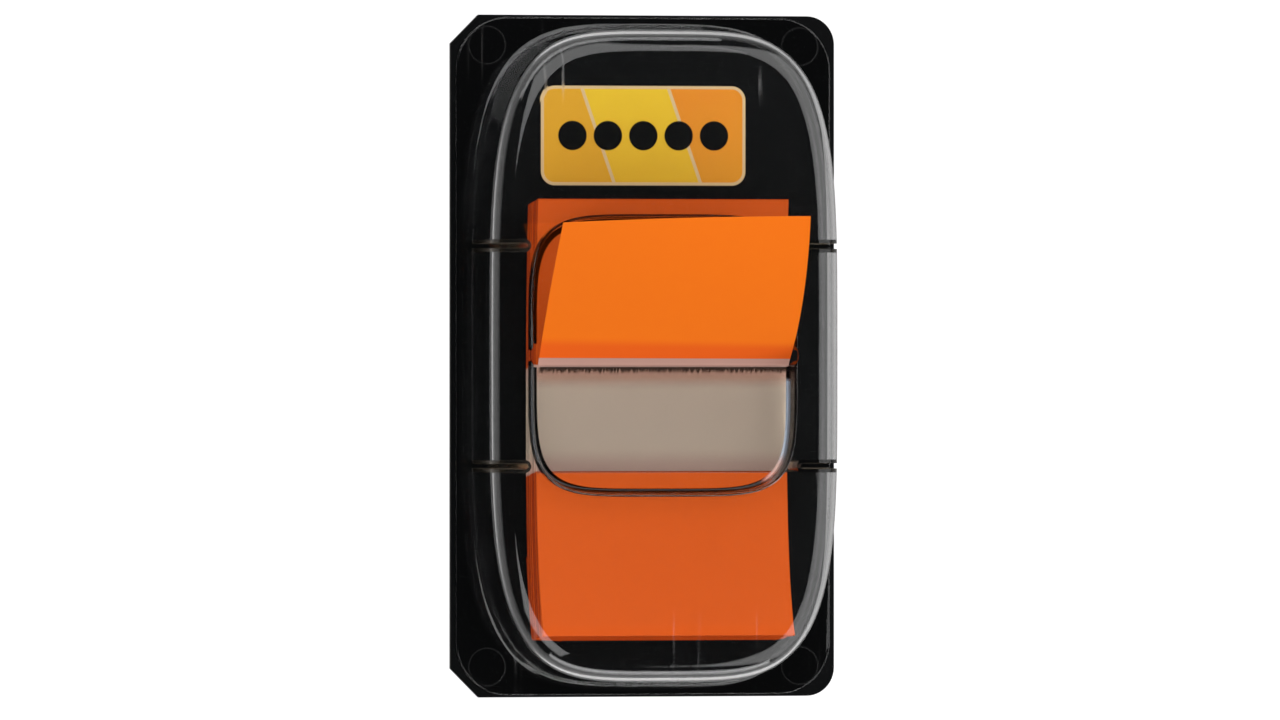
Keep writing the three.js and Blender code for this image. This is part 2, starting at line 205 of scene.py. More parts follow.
class FlagColours(bpy.types.PropertyGroup):
    """Colours of every piece."""

    card: colour("Card", 11, 12, 13, "Black coating of the card")
    card_fleck: colour("Card fleck", 26, 28, 29, "Fine flecks in the coating")
    cut_edge: colour("Cut edge", 46, 44, 42, "Grey core that shows on the card's cut edges")
    cream: colour("Cream", 208, 184, 142, "Border of the emblem")
    yellow: colour("Yellow", 226, 190, 52, "Light field of the emblem")
    mustard: colour("Mustard", 214, 160, 48, "Middle field of the emblem")
    amber: colour("Amber", 222, 134, 44, "Dark field of the emblem")
    pop_orange: colour("Popped orange", 255, 124, 26, "Coloured end of the popped flag")
    pop_dark: colour("Popped dark orange", 247, 102, 28, "The same near the slot, in the shade of the lip")
    pad_orange: colour("Pad orange", 219, 93, 32, "Coloured ends in the pad")
    pad_side: colour("Pad side orange", 166, 54, 22, "Coloured ends seen on the pad's cut sides")
    pad_beige: colour("Pad beige", 246, 225, 202, "Clear middle of the pad, film on film")
    side_beige: colour("Side beige", 140, 130, 118, "Clear middle seen on the pad's cut sides")
    milk: colour("Milky film", 216, 172, 158, "Clear film with glue, where nothing lies behind it")
    blush: colour("Blush", 176, 132, 112, "Clear film near the glue, over the pad")
    # Glue line: a painted shadow of the slot's lip, the dark band on the film just under the lip.
    glue: colour("Glue line", 48, 36, 30, "Dark line of glue at the lip")
    pad_gap: colour("Pad gap", 48, 33, 25, "Shade between the films of the pad")
    liner: colour("Liner", 214, 206, 190, "Liner board")
    liner_fibre: colour("Liner fibre", 196, 186, 168, "Fibres in the liner board")
    sheet: colour("Clear sheet", 255, 255, 255, "Tint of the clear sheet")
    # Guide rib: a painted amber reflection of the orange films, seen in the clear ribs.
    rib: colour("Guide rib", 243, 215, 173, "Tint of the guide ribs")
    # Recess shade: painted shade where the sheet bends at the recess.
    recess_shade: colour("Recess shade", 22, 22, 25, "Tint of the sheet where the recess bends")
    cool_shine: colour("Cool shine", 221, 236, 255, "Light caught by the foot of the recess")
    warm_shine: colour("Warm shine", 255, 223, 212, "The same where the coloured end lies behind it")


class StudioSettings(bpy.types.PropertyGroup):
    """How the camera, the floor and the lamps stand."""

    tilt: angle("Camera tilt", 14.5, "Angle of the camera from straight above, towards the left side")
    distance: length("Camera distance", 1600, "From the card to the lens")
    view_width: length("View width", 126.11, "Width of the picture at the card")
    centre_x: length("Centre across", -0.15, "Where the picture's middle lies on the card")
    centre_y: length("Centre along", -0.39, "Where the picture's middle lies on the card")
    floor_half: length("Floor half size", 1500, "Half the length of the square floor")
    floor_pale: colour("Pale floor", 212, 212, 212, "Floor at the left and below")
    floor_grey: colour("Grey floor", 158, 158, 158, "Floor at the right")
    floor_glow: share("Floor glow", 0.8, "White that the floor adds of its own where the camera sees it")
    floor_shine: share("Floor shine", 0.12, "Share of that white in gloss and through the clear sheet")
    side_light: share("Side lamp", 1.45, "Brightness of the large lamp at the right; a lit white sheet has 1")
    end_light: share("End lamp", 1.5, "Brightness of the lamp past the top end")
    low_light: share("Low lamp", 1.8, "Brightness of the lamp at the lower left")
    front_light: share("Front lamp", 3.6, "Brightness of the low lamp past the bottom end")
    back_light: share("Back lamp", 3.0, "Brightness of the low lamp past the top end")
    room_light: share("Room", 0.012, "Brightness of the room round about")


# Surfaces


def on_circle(turn):
    """Points of the unit circle at an array of angles."""
    return np.stack([np.cos(turn), np.sin(turn)], axis=1)


def superellipse(half_width, half_length, power, centre, points, grow):
    """Points of a superellipse about a centre, moved outwards by grow along the curve's normal.

    On it the power of x over its half width and the power of y over its half length add up to 1. The points
    are shared out by length and by turn, so that the corners get enough of them.
    """
    half = np.array([half_width, half_length])
    fine = 9600
    way = on_circle(np.linspace(0, 2 * np.pi, fine + 1))
    place = way * (np.abs(way / half) ** power).sum(axis=1, keepdims=True) ** (-1 / power)
    normal = np.sign(place) * np.abs(place / half) ** (power - 1) / half
    normal /= np.linalg.norm(normal, axis=1, keepdims=True)
    step = np.linalg.norm(np.diff(place, axis=0), axis=1)
    bend = np.linalg.norm(np.diff(normal, axis=0), axis=1)
    along = np.concatenate([[0], np.cumsum(step + TURN_LENGTH * bend)])
    pick = np.searchsorted(along, np.arange(points) / points * along[-1])
    return np.array(centre) + place[pick] + grow * normal[pick]


def rounded_rectangle(half_width, half_length, radius, steps, centre=(0, 0)):
    """Points of a rectangle whose corners are quarter circles, counter-clockwise."""
    turn = np.linspace(0, np.pi / 2, steps + 1)
    corners = []
    for quarter, (x, y) in enumerate([(1, 1), (-1, 1), (-1, -1), (1, -1)]):
        middle = np.array([x * (half_width - radius), y * (half_length - radius)])
        corners.append(middle + radius * on_circle(turn + quarter * np.pi / 2))
    return np.array(centre) + np.concatenate(corners)


def at_height(points, height):
    """The flat points as a ring in space at one height."""
    return np.column_stack([points, np.full(len(points), height)])


def loft(rings):
    """Points and faces of a closed solid through rings of as many points each, the lowest ring first.

    Neighbouring rings are joined by quads, and one flat face closes each end.
    """
    rings = np.asarray(rings)
    layers, around = rings.shape[:2]
    here = np.arange(around)
    after = np.roll(here, -1)
    low = np.arange(layers - 1)[:, None] * around
    quads = np.stack([low + here, low + after, low + after + around, low + here + around], axis=-1)
    faces = quads.reshape(-1, 4).tolist()
    faces.append(here[::-1].tolist())
    faces.append((here + (layers - 1) * around).tolist())
    return rings.reshape(-1, 3), faces


def new_object(name, points, faces):
    """A mesh object at the origin, linked to the scene, with smooth faces that point outwards."""
    mesh = bpy.data.meshes.new(name)
    mesh.from_pydata(np.asarray(points).tolist(), [], faces)
    mesh.shade_smooth()
    mesh.update()
    made = bpy.data.objects.new(name, mesh)
    bpy.context.scene.collection.objects.link(made)
    return made


def set_uv(mesh, uv):
    """Gives every corner of the mesh the flat coordinates of its point."""
    corner = np.empty(len(mesh.loops), dtype=np.int32)
    mesh.loops.foreach_get("vertex_index", corner)
    layer = mesh.uv_layers.new(name="film")
    layer.data.foreach_set("uv", uv[corner].astype(np.float32).ravel())


def set_tone(mesh, tone):
    """Gives every point of the mesh a number that its finish reads as an attribute."""
    mesh.attributes.new("tone", "FLOAT", "POINT").data.foreach_set("value", tone.astype(np.float32))


def finish_piece(made, node, mat, sharp):
    """Puts the finish on a piece, shades it with edges sharp past an angle in degrees, ties it to the body
    and hides the plain node that it replaces."""
    made.data.materials.clear()
    made.data.materials.append(mat)
    made.data.set_sharp_from_angle(angle=math.radians(sharp))
    even = made.modifiers.new("even normals", "WEIGHTED_NORMAL")
    even.keep_sharp = True
    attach(made, BODY)
    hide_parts(node)
    if not made.data.polygons:
        raise RuntimeError(f"{made.name} has no faces")


# Cover


def dome_rings(sizes, inset, bottom):
    """Rings of the dome's outside, or with inset set to the wall, of its inside.

    From the bottom up: a quarter circle at the foot, a side that leans in by the draft, and a quarter
    circle at the top edge. The inset moves every face by the same distance.
    """
    turn = np.linspace(0, np.pi / 2, sizes.arc_steps + 1)
    flange_top = sizes.card_top + sizes.wall
    foot = sizes.foot_radius + inset
    edge = sizes.dome_radius - inset
    grow = np.concatenate([
        [sizes.foot_radius],
        sizes.foot_radius - foot * np.sin(turn),
        -sizes.dome_draft - sizes.dome_radius + edge * np.cos(turn),
    ])
    height = np.concatenate([
        [bottom],
        flange_top + sizes.foot_radius - foot * np.cos(turn),
        sizes.dome_top - sizes.dome_radius + edge * np.sin(turn),
    ])
    half = (sizes.dome_half_width, sizes.dome_half_length, sizes.dome_power)
    centre = (sizes.dome_shift, 0)
    return [
        at_height(superellipse(*half, centre, sizes.dome_points, offset), level)
        for offset, level in zip(grow, height)
    ]


def panel_rings(sizes, grow):
    """Rings of the recess, or with grow set to the wall, of the recess and its wall.

    From the bottom up: a quarter circle at the floor, a side with little draft, and at the rim of the
    recess a quarter circle that opens outwards.
    """
    turn = np.linspace(0, np.pi / 2, sizes.arc_steps + 1)
    corner = sizes.floor_radius + grow
    offset = -sizes.panel_draft - sizes.floor_radius + corner * np.sin(turn)
    height = sizes.panel_floor + sizes.floor_radius - corner * np.cos(turn)
    past = sizes.dome_top + MM
    if grow > 0:
        offset = np.append(offset, grow)
        height = np.append(height, past)
    else:
        offset = np.concatenate([offset, sizes.rim_radius * (1 - np.cos(turn)), [sizes.rim_radius]])
        height = np.concatenate([height, sizes.dome_top - sizes.rim_radius * (1 - np.sin(turn)), [past]])
    half = (sizes.panel_half_width, sizes.panel_half_length, sizes.panel_power)
    centre = (0, sizes.panel_centre)
    return [
        at_height(superellipse(*half, centre, sizes.panel_points, out), level)
        for out, level in zip(offset, height)
    ]


def rib_rings(sizes, side, end, grow, bottom):
    """Two rings of a rib's groove, or with grow set to the wall, of the whole rib: a half circle at the tip
    and straight sides out past the dome."""
    turn = np.linspace(np.pi / 2, 1.5 * np.pi, 2 * sizes.arc_steps + 1)
    out = sizes.dome_half_width + sizes.foot_radius + MM
    rings = []
    for flare, level in ((0, bottom), (sizes.rib_flare / 2, sizes.dome_top + MM)):
        half = sizes.rib_groove / 2 + grow + flare
        middle = [sizes.rib_tip + sizes.wall - grow + half, 0]
        outline = np.concatenate([middle + half * on_circle(turn), [[out, -half], [out, half]]])
        outline = outline * [side, 1] + [0, end * sizes.rib_centre]
        rings.append(at_height(outline if side > 0 else outline[::-1], level))
    return rings


def flange_rings(sizes):
    """Rings of the flange: a rounded rectangle whose upper edge is a small quarter circle."""
    turn = np.linspace(0, np.pi / 2, 4)
    top = sizes.card_top + sizes.wall
    inset = np.concatenate([[0], sizes.flange_edge * (1 - np.cos(turn))])
    height = np.concatenate([[sizes.card_top], top - sizes.flange_edge * (1 - np.sin(turn))])
    half = np.array([sizes.flange_half_width, sizes.flange_half_length, sizes.flange_radius])
    steps = 2 * sizes.arc_steps
    return [at_height(rounded_rectangle(*(half - less), steps), level) for less, level in zip(inset, height)]


def slot_rings(sizes):
    """Two rings of the slot, from under the panel's floor to above it."""
    half = (sizes.slot_half_length, sizes.slot_width / 2)
    outline = rounded_rectangle(*half, sizes.slot_radius, sizes.arc_steps, (0, sizes.panel_centre))
    return [at_height(outline, level) for level in (sizes.panel_floor - 2 * MM, sizes.dome_top + 2 * MM)]


def weld_rings(sizes, side, end):
    """Two rings of a round weld spot, from its floor to above the flange."""
    half = np.array([sizes.flange_half_width - sizes.weld_side, sizes.flange_half_length - sizes.weld_end])
    turn = np.linspace(0, 2 * np.pi, 8 * sizes.arc_steps, endpoint=False)
    circle = half * [side, end] + sizes.weld_radius * on_circle(turn)
    low = sizes.card_top + sizes.wall - sizes.weld_depth
    return [at_height(circle, level) for level in (low, low + MM)]


def cut_solid(name, base, cuts, joins=()):
    """Joins solids to a loft and then cuts others from it. Each is given as the rings of a loft or as an
    object, and is removed once its work is done."""
    made = new_object(name, *loft(base))
    tools = []
    for operation, parts in (("UNION", joins), ("DIFFERENCE", cuts)):
        for part in parts:
            tool = part if isinstance(part, bpy.types.Object) else new_object(name + "_tool", *loft(part))
            change = made.modifiers.new(operation, "BOOLEAN")
            change.operation = operation
            change.solver = "MANIFOLD"
            change.object = tool
            tools.append(tool)
    bpy.context.view_layer.update()
    result = bpy.data.meshes.new_from_object(made.evaluated_get(bpy.context.evaluated_depsgraph_get()))
    made.modifiers.clear()
    bare = made.data
    made.data = result
    spare = [bare] + [tool.data for tool in tools]
    for tool in tools:
        bpy.data.objects.remove(tool)
    for mesh in spare:
        bpy.data.meshes.remove(mesh)
    result.name = name
    result.shade_smooth()
    if not result.polygons:
        raise RuntimeError(f"the cuts left nothing of {name}")
    return made


def build_cover(sizes):
    """The clear cover: flange and dome, less the recess, the grooves, the inside, the slot and the welds."""
    card = sizes.card_top
    corners = [(side, end) for side in (-1, 1) for end in (-1, 1)]
    ribs = [rib_rings(sizes, side, end, sizes.wall, card - 2 * MM) for side, end in corners]
    grooves = [rib_rings(sizes, side, end, 0, card + sizes.wall) for side, end in corners]
    welds = [weld_rings(sizes, side, end) for side, end in corners]
    inside = dome_rings(sizes, sizes.wall, card - MM)
    hollow = cut_solid("cover_inside", inside, [panel_rings(sizes, sizes.wall), *ribs])
    cuts = [panel_rings(sizes, 0), *grooves, hollow, slot_rings(sizes), *welds]
    return cut_solid("cover", dome_rings(sizes, 0, card), cuts, joins=[flange_rings(sizes)])


# Flags


def half_pad(sizes):
    """Half the length of the curled pad, seen from above."""
    return (sizes.length - sizes.curl_shortening) / 2


def curl(sizes, y, depth):
    """How far the films rise at a place along the pad: a power of the distance from its middle, more at
    the lower end and there more for the front films than for the rear ones."""
    along = (y - sizes.pad_centre) / half_pad(sizes)
    rise = np.where(along < 0, sizes.lower_curl + sizes.lower_fan * depth, sizes.upper_curl)
    return rise * np.abs(along) ** sizes.curl_power


def next_under(sizes, y):
    """Height of the front flag's underside: the pad's top, and a parabola more at the lower end."""
    low_end = sizes.pad_centre - half_pad(sizes)
    from_end = (low_end + sizes.next_curl_length - y) / sizes.next_curl_length
    top = sizes.foot + sizes.pad_thickness + sizes.gap
    return top + curl(sizes, y, 1) + sizes.next_curl * np.maximum(0, from_end) ** 2


def build_pad(sizes):
    """The pad: each film is a flat strip with a rectangular section, carried along a curled profile.

    One array holds all films, as film by row along by corner of the section. Groups of films stand a
    little out of line after a sine wave, and single films by a random share of the jitter.
    """
    groups, group_turn = 10, 2.6
    film_share = 0.93
    tone_swing, tone_spread = 0.34, 0.16
    sheets, rows = sizes.sheets, 61
    half = half_pad(sizes)
    random = np.random.default_rng(7)
    rear = np.arange(sheets) / sheets
    wave = sizes.stagger * np.sin(group_turn * np.floor(rear * groups))
    loose = np.clip(random.normal(0, 0.5, (2, sheets)), -1, 1) * sizes.jitter
    slide = sizes.shear * (rear + 0.5 / sheets - 0.5) + wave + loose[0]
    aside = wave / 2 + loose[1]
    along = np.linspace(0, 1, rows)
    y = sizes.pad_centre - half + slide[:, None] + 2 * half * along
    low = sizes.foot + sizes.pad_thickness * rear[:, None] + curl(sizes, y, rear[:, None])
    top = low + film_share * sizes.pad_thickness / sheets
    left = sizes.pad_shift - sizes.width / 2 + aside[:, None] + 0 * y
    right = left + sizes.width
    section = [(left, low), (right, low), (right, top), (left, top)]
    points = np.stack([np.stack([x, y, z], axis=-1) for x, z in section], axis=2)
    index = np.arange(sheets * rows * 4).reshape(sheets, rows, 4)
    after = np.roll(index, -1, axis=2)
    quads = np.stack([after[:, :-1], after[:, 1:], index[:, 1:], index[:, :-1]], axis=-1).reshape(-1, 4)
    faces = np.concatenate([quads, index[:, 0, ::-1], index[:, -1]])
    made = new_object("flag_pad_films", points.reshape(-1, 3), faces.tolist())
    uv = np.empty((sheets, rows, 4, 2))
    uv[..., 0] = np.array([0, 1, 1, 0])
    uv[..., 1] = along[None, :, None]
    set_uv(made.data, uv.reshape(-1, 2))
    swing = np.where(np.arange(sheets) % 2, tone_swing, -tone_swing)
    tone = 0.5 + swing + random.uniform(-tone_spread, tone_spread, sheets)
    set_tone(made.data, np.repeat(tone, rows * 4))
    return made


def film_solid(name, middle, slope, width, centre_x, film, tip_down=False):
    """A thin film about a middle surface.

    The surface is given as rows of (y, z) by columns across, with the slope of every row and column. Both
    faces stand half the film's thickness off along the normal, and quads close the four edges. Its flat
    coordinates are the share across and the share along from the clear end to the coloured tip.
    """
    rows, columns = slope.shape
    across = np.linspace(-0.5, 0.5, columns)
    x = centre_x + width * across + 0 * slope
    grids = []
    for side in (0.5, -0.5):
        y = middle[..., 0] - side * film * np.sin(slope)
        z = middle[..., 1] + side * film * np.cos(slope)
        grids.append(np.stack([x, y, z], axis=-1))
    points = np.concatenate([grid.reshape(-1, 3) for grid in grids])
    index = np.arange(rows * columns).reshape(rows, columns)
    under = index + rows * columns
    top = np.stack([index[:-1, :-1], index[:-1, 1:], index[1:, 1:], index[1:, :-1]], axis=-1)
    bottom = np.stack([under[:-1, :-1], under[1:, :-1], under[1:, 1:], under[:-1, 1:]], axis=-1)
    left = np.stack([index[:-1, 0], index[1:, 0], under[1:, 0], under[:-1, 0]], axis=-1)
    right = np.stack([index[:-1, -1], under[:-1, -1], under[1:, -1], index[1:, -1]], axis=-1)
    first = np.stack([index[0, :-1], under[0, :-1], under[0, 1:], index[0, 1:]], axis=-1)
    last = np.stack([index[-1, :-1], index[-1, 1:], under[-1, 1:], under[-1, :-1]], axis=-1)
    faces = np.concatenate([part.reshape(-1, 4) for part in (top, bottom, left, right, first, last)])
    made = new_object(name, points, faces.tolist())
    step = np.linalg.norm(np.diff(middle, axis=0), axis=-1)
    travel = np.concatenate([np.zeros((1, columns)), np.cumsum(step, axis=0)])
    travel /= travel[-1]
    if tip_down:
        travel = 1 - travel
    uv = np.stack([across + 0.5 + 0 * travel, travel], axis=-1).reshape(-1, 2)
    set_uv(made.data, np.concatenate([uv, uv]))
    return made


def build_next(sizes):
    """The front flag: it lies on the pad's curled top, with its coloured end down."""
    rows, columns = 161, 17
    low = sizes.pad_centre - half_pad(sizes) + sizes.shear / 2
    y = np.linspace(low, low + 2 * half_pad(sizes), rows)
    z = next_under(sizes, y) + sizes.film / 2
    slope = np.arctan2(np.gradient(z), np.gradient(y))
    middle = np.repeat(np.stack([y, z], axis=-1)[:, None, :], columns, axis=1)
    slopes = np.repeat(slope[:, None], columns, axis=1)
    return film_solid(
        "next_flag_film", middle, slopes, sizes.width, sizes.pad_shift, sizes.film, tip_down=True
    )


def build_popped(sizes, pop, cover):
    """The popped flag: its clear end rests on the front flag and leaves it by a parabola that reaches the
    slot's lip at the lip angle. Past the lip every column adds up steps at a slope that goes from the left
    edge's to the right edge's."""
    offset = sizes.film / 2 + pop.lip_clearance
    lip_y = cover.panel_centre - cover.slot_width / 2 + offset * math.sin(pop.lip_angle)
    lip_z = cover.panel_floor - cover.wall - offset * math.cos(pop.lip_angle)
    pitch = sizes.film + sizes.gap
    climb = lip_z - (next_under(sizes, lip_y) + pitch + sizes.film / 2)
    run = 2 * climb / math.tan(pop.lip_angle)
    emerged = sizes.colour_length + pop.past_lip
    hidden = sizes.length - emerged
    fine, margin = 2000, 1.1
    y = np.linspace(lip_y, lip_y - margin * hidden, 2 * fine)
    rest = next_under(sizes, y) + pitch + sizes.film / 2
    z = rest + climb * np.maximum(0, (y - lip_y + run) / run) ** 2
    travel = np.concatenate([[0], np.cumsum(np.hypot(np.diff(y), np.diff(z)))])
    half_rows = pop.rows // 2
    want = np.linspace(hidden, 0, half_rows + 1)
    path = np.stack([np.interp(want, travel, y), np.interp(want, travel, z)], axis=-1)
    path_slope = np.interp(want, travel, np.arctan2(-np.gradient(z), -np.gradient(y)))
    columns = pop.columns + 1
    across = np.linspace(0, 1, columns)
    gone = (np.arange(fine)[:, None] + 0.5) * emerged / fine
    turned = np.minimum(1, gone / pop.bend_length)
    start = pop.left_start + (pop.right_start - pop.left_start) * across
    end = pop.left_end + (pop.right_end - pop.left_end) * across
    slope = pop.lip_angle * (1 - turned) + (start + (end - start) * gone / emerged) * turned
    steps = np.stack([np.cos(slope), np.sin(slope)], axis=-1) * emerged / fine
    free = np.array([lip_y, lip_z]) + np.cumsum(steps, axis=0)
    pick = np.arange(1, half_rows + 1) * fine // half_rows - 1
    middle = np.concatenate([np.repeat(path[:, None, :], columns, axis=1), free[pick]])
    slopes = np.concatenate([np.repeat(path_slope[:, None], columns, axis=1), slope[pick]])
    return film_solid("popped_flag_film", middle, slopes, sizes.width, pop.shift, sizes.film)


# Card


def build_card(sizes):
    """The card: one outline with two cut and two round corners, its upper and lower edges a little rounded.

    Each ring is the outline drawn in towards the middle by the inset of the rounded edge at its height.
    """
    x, y = sizes.half_width, sizes.half_length
    cut, radius = sizes.cut_corner, sizes.round_corner
    corner_steps, edge_steps = 12, 3
    turn = np.linspace(0, np.pi / 2, corner_steps + 1)
    upper = np.array([x - radius, y - radius]) + radius * on_circle(turn)
    lower = upper[::-1] * [1, -1]
    outline = np.concatenate([lower, upper, [[-x + cut, y], [-x, y - cut], [-x, -y + cut], [-x + cut, -y]]])
    swing = np.linspace(0, np.pi / 2, edge_steps + 1)
    inset = sizes.edge * np.concatenate([1 - np.sin(swing), 1 - np.cos(swing)])
    rise = sizes.edge * np.concatenate([1 - np.cos(swing), np.sin(swing) - 1])
    height = rise + np.repeat([0, sizes.thickness], len(swing))
    rings = [at_height(outline * [1 - less / x, 1 - less / y], level) for less, level in zip(inset, height)]
    return new_object("card", *loft(rings))


# Finishes


def add(tree, kind, inputs=None, **settings):
    """Adds a shader node, sets its settings, and links or fills its inputs by name or number."""
    node = tree.nodes.new("ShaderNode" + kind)
    for key, value in settings.items():
        setattr(node, key, value)
    for key, value in (inputs or {}).items():
        fill(tree, node.inputs[key], value)
    return node


def fill(tree, socket, value):
    """Links a level or an output to a socket, or sets its value. A colour is given as three parts."""
    if isinstance(value, Level):
        value = value.output
    if isinstance(value, bpy.types.NodeSocket):
        tree.links.new(value, socket)
    elif socket.type == "RGBA":
        socket.default_value = (*value, 1)
    else:
        socket.default_value = value


class Level:
    """A number that shader nodes work out. Each sign between levels and numbers adds one Math node."""

    def __init__(self, tree, output):
        self.tree = tree
        self.output = output

    def math_node(self, operation, first, second=0.0):
        """The result of one Math node."""
        node = add(self.tree, "Math", {0: first, 1: second}, operation=operation)
        return Level(self.tree, node.outputs[0])

    def __add__(self, other):
        return self.math_node("ADD", self, other)

    def __sub__(self, other):
        return self.math_node("SUBTRACT", self, other)

    def __rsub__(self, other):
        return self.math_node("SUBTRACT", other, self)

    def __mul__(self, other):
        return self.math_node("MULTIPLY", self, other)

    def __truediv__(self, other):
        return self.math_node("DIVIDE", self, other)

    def __mod__(self, other):
        return self.math_node("MODULO", self, other)

    def __pow__(self, other):
        return self.math_node("POWER", self, other)

    def __abs__(self):
        return self.math_node("ABSOLUTE", self)

    def most(self, other):
        """The larger of this and another."""
        return self.math_node("MAXIMUM", self, other)

    def ramp(self, low, high):
        """A smooth step from 0 at low to 1 at high, or the other way round where low is the larger."""
        inputs = {"Value": self, "From Min": min(low, high), "From Max": max(low, high)}
        if low > high:
            inputs.update({"To Min": 1.0, "To Max": 0.0})
        node = add(self.tree, "MapRange", inputs, interpolation_type="SMOOTHSTEP")
        return Level(self.tree, node.outputs["Result"])

    def between(self, low, high, blur):
        """1 from low to high and 0 outside, with smooth steps of a width just inside the two."""
        return self.ramp(low, low + blur) * self.ramp(high, high - blur)


def distance(beside, above):
    """The length of the straight line with these two parts: the root of the sum of their squares."""
    return (beside * beside + above * above) ** 0.5


def rounded_box(x, y, half_width, half_height, radius):
    """Distance to the edge of a rounded box about the origin, less than 0 inside."""
    beside = (abs(x) - (half_width - radius)).most(0.0)
    above = (abs(y) - (half_height - radius)).most(0.0)
    return distance(beside, above) - radius


class Finish:
    """A new node material with its Principled shader and the patterns that feed it."""

    def __init__(self, name, roughness, specular=0.5):
        self.material = bpy.data.materials.new(name)
        self.material.use_nodes = True
        self.tree = self.material.node_tree
        self.shader = self.tree.nodes["Principled BSDF"]
        self.feed("Roughness", roughness)
        self.feed("Specular IOR Level", specular)
        self.place = add(self.tree, "TexCoord").outputs["Object"]

    def feed(self, name, value):
        """Links or sets one input of the shader."""
        fill(self.tree, self.shader.inputs[name], value)

    def parts(self, vector):
        """The three parts of a vector."""
        return [Level(self.tree, part) for part in add(self.tree, "SeparateXYZ", {0: vector}).outputs]

    def stretched(self, vector, scale):
        """A vector whose parts are multiplied by those of a scale."""
        return add(self.tree, "VectorMath", {0: vector, 1: scale}, operation="MULTIPLY").outputs[0]

    def film(self):
        """The shares across a film and along it from its clear end."""
        return self.parts(add(self.tree, "UVMap", uv_map="film").outputs[0])[:2]

    def upright(self):
        """The upright part of the surface's normal, without its sign."""
        return abs(self.parts(add(self.tree, "TexCoord").outputs["Normal"])[2])

    def noise(self, scale, detail=2.0, roughness=0.5, at=None):
        """The grey level of a noise texture, at the place on the object or at a given vector."""
        vector = self.place if at is None else at
        inputs = {"Vector": vector, "Scale": scale, "Detail": detail, "Roughness": roughness}
        return Level(self.tree, add(self.tree, "TexNoise", inputs).outputs["Fac"])

    def blend(self, mask, first, second):
        """The colour that goes from the first to the second as the mask goes from 0 to 1."""
        return add(self.tree, "Mix", {0: mask, 6: first, 7: second}, data_type="RGBA").outputs[2]

    def bump(self, height, strength, depth):
        """Lets a height pattern tilt the surface."""
        inputs = {"Height": height, "Strength": strength, "Distance": depth}
        self.feed("Normal", add(self.tree, "Bump", inputs).outputs[0])


def emblem_colour(finish, sizes, colours, x, level):
    """The print and where it lies: three slanted fields with pale seams and a pale border, and round dots.

    A seam is a line on which x plus the slant times the height is the same all along. A dot is a circle
    about the middle of its cell of the row.
    """
    soft, seam_soft = 0.04 * MM, 0.03 * MM
    lean = x + level * sizes.seam_slant
    mustard = lean.ramp(-sizes.mustard_seam + soft, -sizes.mustard_seam - soft)
    amber = lean.ramp(sizes.amber_seam - soft, sizes.amber_seam + soft)
    shade = level.ramp(sizes.print_half_height, -sizes.print_half_height)
    field = finish.blend(mustard, colours.yellow, colours.mustard)
    field = finish.blend(amber, field, colours.amber)
    field = finish.blend(shade * 0.4, field, colours.mustard)
    wide, narrow = sizes.seam_half_width + seam_soft, sizes.seam_half_width - seam_soft
    amber_line = abs(lean - sizes.amber_seam).ramp(wide, narrow)
    mustard_line = abs(lean + sizes.mustard_seam).ramp(wide, narrow)
    box = rounded_box(x, level, sizes.print_half_width, sizes.print_half_height, sizes.print_radius)
    rim = box.ramp(-sizes.print_border - soft, -sizes.print_border + soft)
    emblem = finish.blend(amber_line.most(mustard_line).most(rim), field, colours.cream)
    emblem = finish.blend(finish.noise(scale=420.0, detail=4.0) * 0.25, emblem, colours.mustard)
    half_row = sizes.dots / 2 * sizes.dot_pitch
    aside = (x + half_row) % sizes.dot_pitch - sizes.dot_pitch / 2
    dot = distance(aside, level).ramp(sizes.dot_radius + soft, sizes.dot_radius - soft)
    dot = dot * abs(x).ramp(half_row + soft, half_row - soft)
    return finish.blend(dot, emblem, colours.card), box.ramp(soft, -soft)


def card_material(sizes, colours):
    """Black coated board with fine flecks, a grey cut edge, and an emblem of plain fields on its front."""
    finish = Finish("black coated board", roughness=0.36, specular=0.05)
    x, y, z = finish.parts(finish.place)
    fleck = finish.noise(scale=2600.0, detail=3.0, roughness=0.7).ramp(0.56, 0.74)
    coat = finish.blend(fleck * finish.noise(scale=160.0), colours.card, colours.card_fleck)
    cut = abs(x).ramp(sizes.half_width - 0.03 * MM, sizes.half_width - 0.01 * MM)
    body = finish.blend(cut * 0.7, coat, colours.cut_edge)
    emblem, printed = emblem_colour(finish, sizes, colours, x, y - sizes.print_y)
    front = z.ramp(sizes.thickness - 0.02 * MM, sizes.thickness - 0.005 * MM)
    finish.feed("Base Color", finish.blend(printed * front, body, emblem))
    finish.bump(finish.noise(scale=1500.0, detail=3.0), strength=0.12, depth=0.02 * MM)
    return finish.material


def sheet_marks(finish, cover, aside, above, z):
    """Fine scratches along the sheet near its two ends, and the same with the faint rings of the welds."""
    along = finish.stretched(finish.place, (900.0, 14.0, 60.0))
    lines = finish.noise(scale=1.0, detail=3.0, roughness=0.6, at=along).ramp(0.6, 0.7)
    scratch = lines * above.ramp(24 * MM, 27 * MM) * finish.noise(scale=90.0).ramp(0.48, 0.6)
    weld_x = aside - (cover.flange_half_width - cover.weld_side)
    weld_y = above - (cover.flange_half_length - cover.weld_end)
    off_weld = abs(distance(weld_x, weld_y) - cover.weld_radius)
    on_flange = z.ramp(cover.card_top + 1.0 * MM, cover.card_top + 0.6 * MM)
    ring = off_weld.ramp(0.09 * MM, 0.03 * MM) * on_flange
    return scratch, scratch.most(ring * 0.4)


